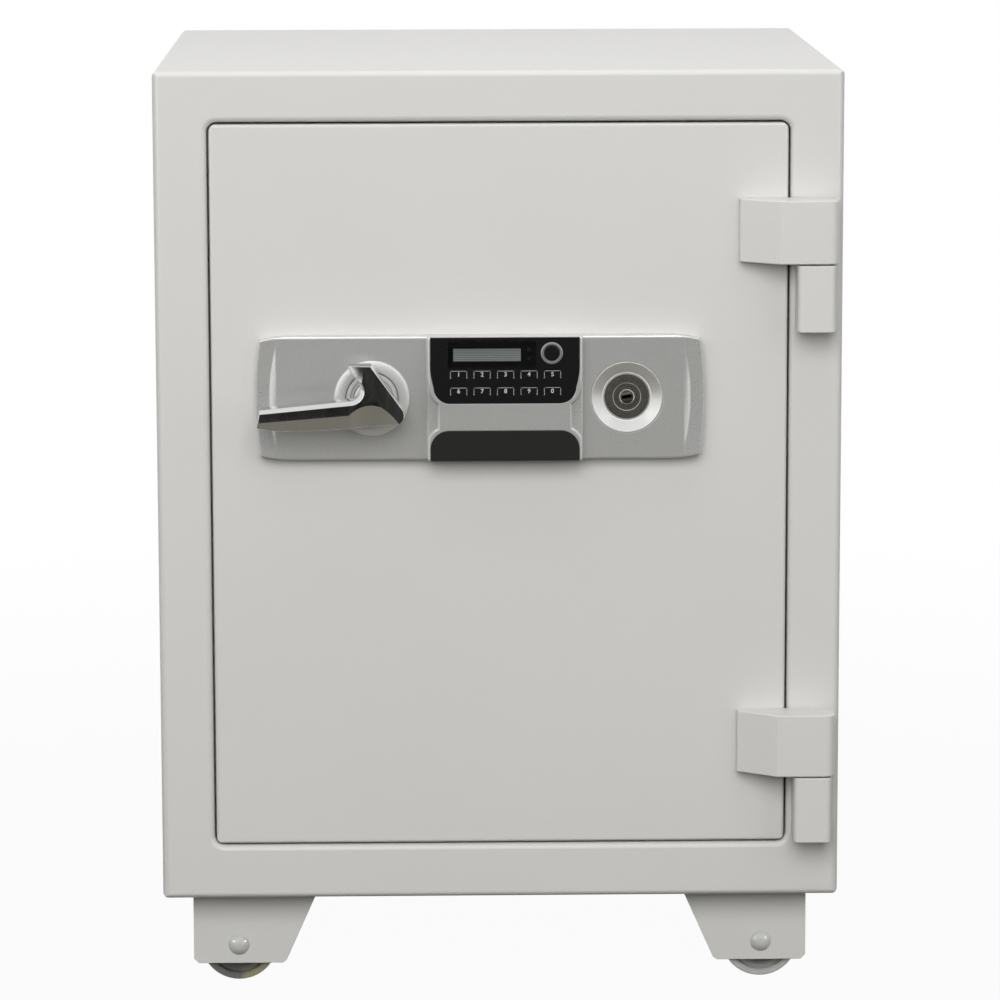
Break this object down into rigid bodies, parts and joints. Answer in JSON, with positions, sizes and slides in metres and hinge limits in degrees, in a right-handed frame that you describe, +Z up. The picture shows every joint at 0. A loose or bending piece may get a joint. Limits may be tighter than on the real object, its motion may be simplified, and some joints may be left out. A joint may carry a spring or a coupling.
{
  "type": "fireproof safe",
  "caption": "Floor-standing fireproof safe on rollers, with a flush insulated door on strap hinges, a lever handle, a keypad with display and a key lock.",
  "frame": {"origin": "on the floor, under the middle of the whole object's box", "axes": "+X to the right seen from the front, +Y to the back (the door faces -Y), +Z up"},
  "size_m": [0.49, 0.5, 0.67],
  "materials": {
    "casing_paint": "powder-coated pale warm grey, fine satin texture",
    "inner_paint": "pale grey enamel, satin",
    "insulation": "cast lightweight fire insulation, dull",
    "seal": "dark grey heat seal strip",
    "mat_rubber": "grey silicone rubber",
    "cable_black": "black insulated wire",
    "plain_steel": "zinc-plated steel",
    "bolt_steel": "turned and plated steel",
    "solenoid_grey": "grey coated steel frame",
    "bush_brass": "turned brass",
    "roller_zinc": "zinc-plated steel, faintly yellow",
    "panel_silver": "moulded plastic with satin silver paint",
    "keypad_gloss": "glossy black plastic",
    "tray_black": "satin black plastic",
    "lens_clear": "clear smoked lens",
    "display_grey": "liquid crystal display, switched off",
    "lamp_smoke": "small smoked indicator lamps",
    "board_green": "green circuit board",
    "bright_chrome": "polished chrome plate",
    "lock_nickel": "dark nickel-plated brass",
    "cell_wrap": "printed cell sleeve in plain gold"
  },
  "bodies": {
    "cabinet": {"outer_casing": "casing_paint", "back_panel": "casing_paint", "body_insulation": "insulation", "door_jamb": "inner_paint", "inner_liner": "inner_paint", "strike_cups": "plain_steel", "shelf": "inner_paint", "shelf_rails": "inner_paint", "hinge_knuckles": "casing_paint", "hinge_pins": "plain_steel", "foot_brackets": "casing_paint", "wheel_axles": "casing_paint"},
    "door": {"door_skin": "casing_paint", "door_insulation": "insulation", "door_inner_pan": "inner_paint", "door_seal": "seal", "hinge_arms": "casing_paint", "boltwork_cover": "inner_paint", "cover_posts": "plain_steel", "cover_screws": "plain_steel", "dead_bolts": "bolt_steel", "guide_studs": "plain_steel", "spindle_bush": "bush_brass", "solenoid_body": "solenoid_grey", "solenoid_cable": "cable_black", "lock_panel": "panel_silver", "keypad_plate": "keypad_gloss", "display_lens": "lens_clear", "display_module": "display_grey", "status_leds": "lamp_smoke", "key_mat": "mat_rubber", "circuit_board": "board_green", "start_ring": "bright_chrome", "handle_rose": "bright_chrome", "key_bezel": "bright_chrome", "key_cylinder": "lock_nickel"},
    "bolts": {"bolt_carriage": "plain_steel", "live_bolts": "bolt_steel", "bolt_nuts": "plain_steel"},
    "plunger": {"solenoid_plunger": "bolt_steel"},
    "handle": {"handle_lever": "bright_chrome", "handle_spindle": "plain_steel"},
    "key_plug": {"key_plug": "lock_nickel"},
    "tray": {"battery_tray": "tray_black", "batteries": "cell_wrap"},
    "start_button": {"start_button": "keypad_gloss"},
    "key_1": {"key_1": "keypad_gloss"},
    "key_2": {"key_2": "keypad_gloss"},
    "key_3": {"key_3": "keypad_gloss"},
    "key_4": {"key_4": "keypad_gloss"},
    "key_5": {"key_5": "keypad_gloss"},
    "key_6": {"key_6": "keypad_gloss"},
    "key_7": {"key_7": "keypad_gloss"},
    "key_8": {"key_8": "keypad_gloss"},
    "key_9": {"key_9": "keypad_gloss"},
    "key_0": {"key_0": "keypad_gloss"},
    "wheel_front_left": {"wheel_front_left": "roller_zinc"},
    "wheel_front_right": {"wheel_front_right": "roller_zinc"},
    "wheel_rear_left": {"wheel_rear_left": "roller_zinc"},
    "wheel_rear_right": {"wheel_rear_right": "roller_zinc"}
  },
  "joints": [
    {"name": "door_swing", "type": "hinge", "parent": "cabinet", "child": "door", "pos_m": [0.226, -0.215, 0.3715], "axis": [0, 0, 1], "range_deg": [0, 95]},
    {"name": "handle_turn", "type": "hinge", "parent": "door", "child": "handle", "pos_m": [-0.091, -0.2, 0.438], "axis": [0, -1, 0], "range_deg": [0, 60]},
    {"name": "bolt_throw", "type": "slide", "parent": "door", "child": "bolts", "axis": [-1, 0, 0], "range_m": [0, 0.02]},
    {"name": "key_turn", "type": "hinge", "parent": "door", "child": "key_plug", "pos_m": [0.0905, -0.2, 0.438], "axis": [0, 1, 0], "range_deg": [0, 90]},
    {"name": "plunger_drop", "type": "slide", "parent": "door", "child": "plunger", "axis": [0, 0, -1], "range_m": [0, 0.005], "stiffness_N_per_m": 60, "springref_m": -0.004},
    {"name": "tray_slide", "type": "slide", "parent": "door", "child": "tray", "axis": [0, 0, -1], "range_m": [0, 0.035]},
    {"name": "start_press", "type": "slide", "parent": "door", "child": "start_button", "axis": [0, 1, 0], "range_m": [0, 0.001], "stiffness_N_per_m": 500, "springref_m": -0.0005},
    {"name": "key_1_press", "type": "slide", "parent": "door", "child": "key_1", "axis": [0, 1, 0], "range_m": [0, 0.001], "stiffness_N_per_m": 500, "springref_m": -0.0005},
    {"name": "key_2_press", "type": "slide", "parent": "door", "child": "key_2", "axis": [0, 1, 0], "range_m": [0, 0.001], "stiffness_N_per_m": 500, "springref_m": -0.0005},
    {"name": "key_3_press", "type": "slide", "parent": "door", "child": "key_3", "axis": [0, 1, 0], "range_m": [0, 0.001], "stiffness_N_per_m": 500, "springref_m": -0.0005},
    {"name": "key_4_press", "type": "slide", "parent": "door", "child": "key_4", "axis": [0, 1, 0], "range_m": [0, 0.001], "stiffness_N_per_m": 500, "springref_m": -0.0005},
    {"name": "key_5_press", "type": "slide", "parent": "door", "child": "key_5", "axis": [0, 1, 0], "range_m": [0, 0.001], "stiffness_N_per_m": 500, "springref_m": -0.0005},
    {"name": "key_6_press", "type": "slide", "parent": "door", "child": "key_6", "axis": [0, 1, 0], "range_m": [0, 0.001], "stiffness_N_per_m": 500, "springref_m": -0.0005},
    {"name": "key_7_press", "type": "slide", "parent": "door", "child": "key_7", "axis": [0, 1, 0], "range_m": [0, 0.001], "stiffness_N_per_m": 500, "springref_m": -0.0005},
    {"name": "key_8_press", "type": "slide", "parent": "door", "child": "key_8", "axis": [0, 1, 0], "range_m": [0, 0.001], "stiffness_N_per_m": 500, "springref_m": -0.0005},
    {"name": "key_9_press", "type": "slide", "parent": "door", "child": "key_9", "axis": [0, 1, 0], "range_m": [0, 0.001], "stiffness_N_per_m": 500, "springref_m": -0.0005},
    {"name": "key_0_press", "type": "slide", "parent": "door", "child": "key_0", "axis": [0, 1, 0], "range_m": [0, 0.001], "stiffness_N_per_m": 500, "springref_m": -0.0005},
    {"name": "roll_front_left", "type": "hinge", "parent": "cabinet", "child": "wheel_front_left", "pos_m": [-0.1915, -0.151, 0.028], "axis": [0, 1, 0], "continuous": true},
    {"name": "roll_front_right", "type": "hinge", "parent": "cabinet", "child": "wheel_front_right", "pos_m": [0.1915, -0.151, 0.028], "axis": [0, 1, 0], "continuous": true},
    {"name": "roll_rear_left", "type": "hinge", "parent": "cabinet", "child": "wheel_rear_left", "pos_m": [-0.1915, 0.201, 0.028], "axis": [0, 1, 0], "continuous": true},
    {"name": "roll_rear_right", "type": "hinge", "parent": "cabinet", "child": "wheel_rear_right", "pos_m": [0.1915, 0.201, 0.028], "axis": [0, 1, 0], "continuous": true}
  ],
  "couplings": [
    {"joint": "bolt_throw", "follows": "handle_turn", "m_per_rad": 0.01909}
  ]
}
